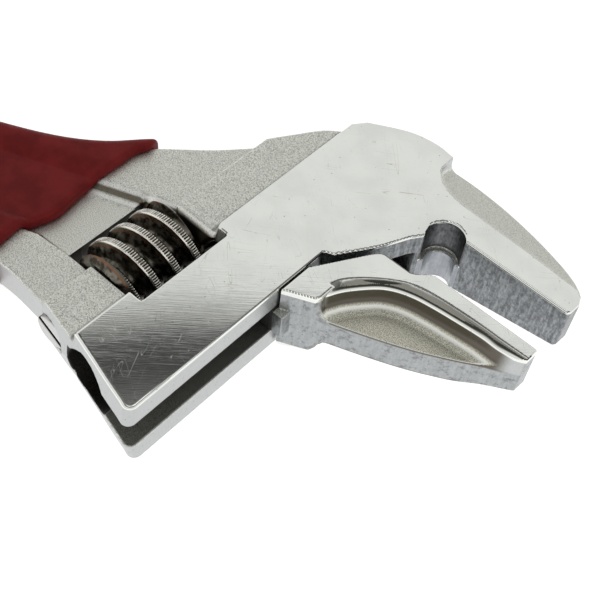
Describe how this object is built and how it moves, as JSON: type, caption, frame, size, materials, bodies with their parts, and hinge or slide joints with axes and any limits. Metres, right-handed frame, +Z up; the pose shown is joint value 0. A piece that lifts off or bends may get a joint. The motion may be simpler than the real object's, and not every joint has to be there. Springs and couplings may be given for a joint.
{
  "type": "adjustable wrench",
  "caption": "Adjustable wrench with a wide, thin-nosed head, a sliding jaw driven by a knurled worm, and a short handle in a dipped vinyl grip.",
  "frame": {"origin": "under the middle of the whole wrench, on the plane that the head rests on", "axes": "+X from the hanging hole to the jaws, +Y towards the fixed jaw's back, +Z up out of the head's flat face"},
  "size_m": [0.165, 0.0646, 0.014],
  "materials": {
    "body_chrome": "satin, face polished and steps sandblasted",
    "jaw_chrome": "satin, face polished and pocket sandblasted",
    "worm_steel": "dark, worn bright on the crests",
    "pin_steel": "satin",
    "spring_steel": "bright drawn wire",
    "grip_vinyl": "soft matte dipped vinyl"
  },
  "bodies": {
    "body": {"wrench_body": "body_chrome", "worm_pin": "pin_steel", "worm_spring": "spring_steel", "grip_sleeve": "grip_vinyl"},
    "jaw": {"sliding_jaw": "jaw_chrome"},
    "worm": {"adjusting_worm": "worm_steel"}
  },
  "joints": [
    {"name": "worm_spin", "type": "hinge", "parent": "body", "child": "worm", "pos_m": [0.01878, -0.00432, 0.007], "axis": [-0.3827, -0.9239, 0], "range_deg": [-2570, 205]},
    {"name": "jaw_slide", "type": "slide", "parent": "body", "child": "jaw", "axis": [0.3827, 0.9239, 0], "range_m": [-0.0285, 0.0022]}
  ],
  "couplings": [
    {"joint": "worm_spin", "follows": "jaw_slide", "rad_per_m": 1570.8}
  ]
}
